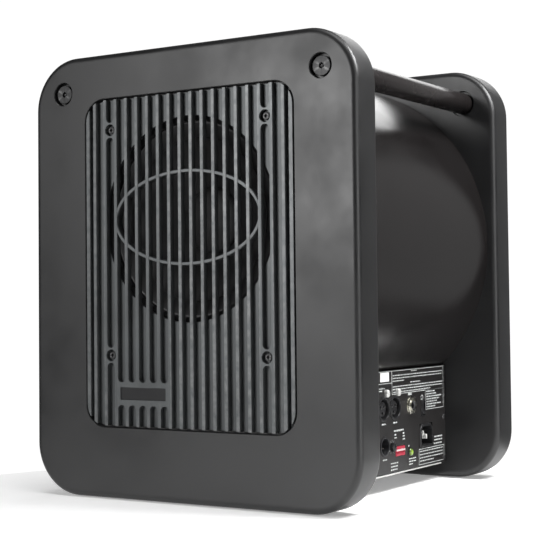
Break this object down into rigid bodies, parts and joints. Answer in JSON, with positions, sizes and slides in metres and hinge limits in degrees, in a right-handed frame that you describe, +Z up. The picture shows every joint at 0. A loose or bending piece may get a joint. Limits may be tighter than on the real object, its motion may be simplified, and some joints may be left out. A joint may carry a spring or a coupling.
{
  "type": "subwoofer",
  "caption": "Active subwoofer: two thick rounded plates joined by tie rods round a rolled steel drum, with a slatted grille and a side connector panel under the drum.",
  "frame": {"origin": "on the ground, under the middle of the overall box", "axes": "+Z up, the grille faces -Y, the connector panel faces +X"},
  "size_m": [0.35, 0.319, 0.41],
  "materials": {
    "plate_paint": "thick board under satin black paint with a fine texture",
    "drum_steel": "smooth semi-gloss black paint on rolled sheet",
    "housing_steel": "matte black paint on folded sheet",
    "rod_steel": "semi-gloss black round bar",
    "black_screw": "blackened steel",
    "grille_cast": "dark grey metallic paint on cast metal",
    "badge": "smooth black blank plate",
    "panel_paint": "satin black panel with plain white printed lines",
    "zinc_steel": "zinc plated",
    "bright_metal": "nickel plated",
    "socket_metal": "dark plated shell",
    "black_plastic": "fine grained moulding",
    "red_plastic": "moulded",
    "white_plastic": "moulded",
    "rubber": "matte",
    "surround_rubber": "smooth soft rubber",
    "cone_paper": "pressed paper, black",
    "spider_cloth": "impregnated woven cloth",
    "basket": "black cast frame",
    "ferrite": "dark ground ferrite",
    "copper": "enamelled copper windings",
    "circuit_board": "green solder mask",
    "led_lens": "clear tinted lens, lit"
  },
  "bodies": {
    "enclosure": {"front_plate": "plate_paint", "rear_plate": "plate_paint", "foot_front_left": "rubber", "foot_front_right": "rubber", "foot_rear_left": "rubber", "foot_rear_right": "rubber", "tie_rod_left": "rod_steel", "tie_rod_right": "rod_steel", "rod_bolt_front_left": "black_screw", "rod_bolt_front_right": "black_screw", "rod_bolt_rear_left": "black_screw", "rod_bolt_rear_right": "black_screw", "grille": "grille_cast", "badge_plate": "badge", "grille_screw_low_left": "black_screw", "grille_screw_low_right": "black_screw", "grille_screw_high_left": "black_screw", "grille_screw_high_right": "black_screw", "spiral_shell": "drum_steel", "driver_basket": "basket", "surround": "surround_rubber", "spider": "spider_cloth", "top_plate": "zinc_steel", "magnet": "ferrite", "pole_yoke": "zinc_steel", "amp_housing": "housing_steel", "amp_panel": "panel_paint", "amp_board": "circuit_board", "mains_transformer": "copper", "bypass_jack": "zinc_steel", "mains_inlet": "black_plastic", "inlet_blades": "bright_metal", "dip_block": "red_plastic", "status_led": "led_lens", "xlr_input_1": "black_plastic", "xlr_input_2": "black_plastic", "xlr_input_3": "black_plastic", "xlr_input_4": "black_plastic", "xlr_input_5": "black_plastic", "xlr_output_1": "socket_metal", "xlr_output_2": "socket_metal", "xlr_output_3": "socket_metal"},
    "cone_assembly": {"cone": "cone_paper", "dust_cap": "cone_paper", "voice_coil": "copper"},
    "rocker": {"power_rocker": "black_plastic"},
    "knob": {"level_knob": "black_plastic"},
    "latch_1": {"xlr_latch_1": "bright_metal"},
    "latch_2": {"xlr_latch_2": "bright_metal"},
    "latch_3": {"xlr_latch_3": "bright_metal"},
    "latch_4": {"xlr_latch_4": "bright_metal"},
    "latch_5": {"xlr_latch_5": "bright_metal"},
    "slider_1": {"dip_slider_1": "white_plastic"},
    "slider_2": {"dip_slider_2": "white_plastic"},
    "slider_3": {"dip_slider_3": "white_plastic"},
    "slider_4": {"dip_slider_4": "white_plastic"},
    "slider_5": {"dip_slider_5": "white_plastic"},
    "slider_6": {"dip_slider_6": "white_plastic"},
    "slider_7": {"dip_slider_7": "white_plastic"}
  },
  "joints": [
    {"name": "cone_excursion", "type": "slide", "parent": "enclosure", "child": "cone_assembly", "axis": [0, 1, 0], "range_m": [-0.008, 0.008], "stiffness_N_per_m": 2000},
    {"name": "power_rocker_tilt", "type": "hinge", "parent": "enclosure", "child": "rocker", "pos_m": [0.117, 0.0725, 0.0735], "axis": [0, 1, 0], "range_deg": [0, 16]},
    {"name": "level_knob_turn", "type": "hinge", "parent": "enclosure", "child": "knob", "pos_m": [0.117, 0.0069, 0.0414], "axis": [1, 0, 0], "range_deg": [-150, 150]},
    {"name": "latch_1_press", "type": "slide", "parent": "enclosure", "child": "latch_1", "axis": [-1, 0, 0], "range_m": [0, 0.002], "stiffness_N_per_m": 300},
    {"name": "latch_2_press", "type": "slide", "parent": "enclosure", "child": "latch_2", "axis": [-1, 0, 0], "range_m": [0, 0.002], "stiffness_N_per_m": 300},
    {"name": "latch_3_press", "type": "slide", "parent": "enclosure", "child": "latch_3", "axis": [-1, 0, 0], "range_m": [0, 0.002], "stiffness_N_per_m": 300},
    {"name": "latch_4_press", "type": "slide", "parent": "enclosure", "child": "latch_4", "axis": [-1, 0, 0], "range_m": [0, 0.002], "stiffness_N_per_m": 300},
    {"name": "latch_5_press", "type": "slide", "parent": "enclosure", "child": "latch_5", "axis": [-1, 0, 0], "range_m": [0, 0.002], "stiffness_N_per_m": 300},
    {"name": "slider_1_switch", "type": "slide", "parent": "enclosure", "child": "slider_1", "axis": [0, 0, -1], "range_m": [0, 0.0018]},
    {"name": "slider_2_switch", "type": "slide", "parent": "enclosure", "child": "slider_2", "axis": [0, 0, -1], "range_m": [0, 0.0018]},
    {"name": "slider_3_switch", "type": "slide", "parent": "enclosure", "child": "slider_3", "axis": [0, 0, -1], "range_m": [0, 0.0018]},
    {"name": "slider_4_switch", "type": "slide", "parent": "enclosure", "child": "slider_4", "axis": [0, 0, -1], "range_m": [0, 0.0018]},
    {"name": "slider_5_switch", "type": "slide", "parent": "enclosure", "child": "slider_5", "axis": [0, 0, -1], "range_m": [0, 0.0018]},
    {"name": "slider_6_switch", "type": "slide", "parent": "enclosure", "child": "slider_6", "axis": [0, 0, -1], "range_m": [0, 0.0018]},
    {"name": "slider_7_switch", "type": "slide", "parent": "enclosure", "child": "slider_7", "axis": [0, 0, -1], "range_m": [0, 0.0018]}
  ]
}
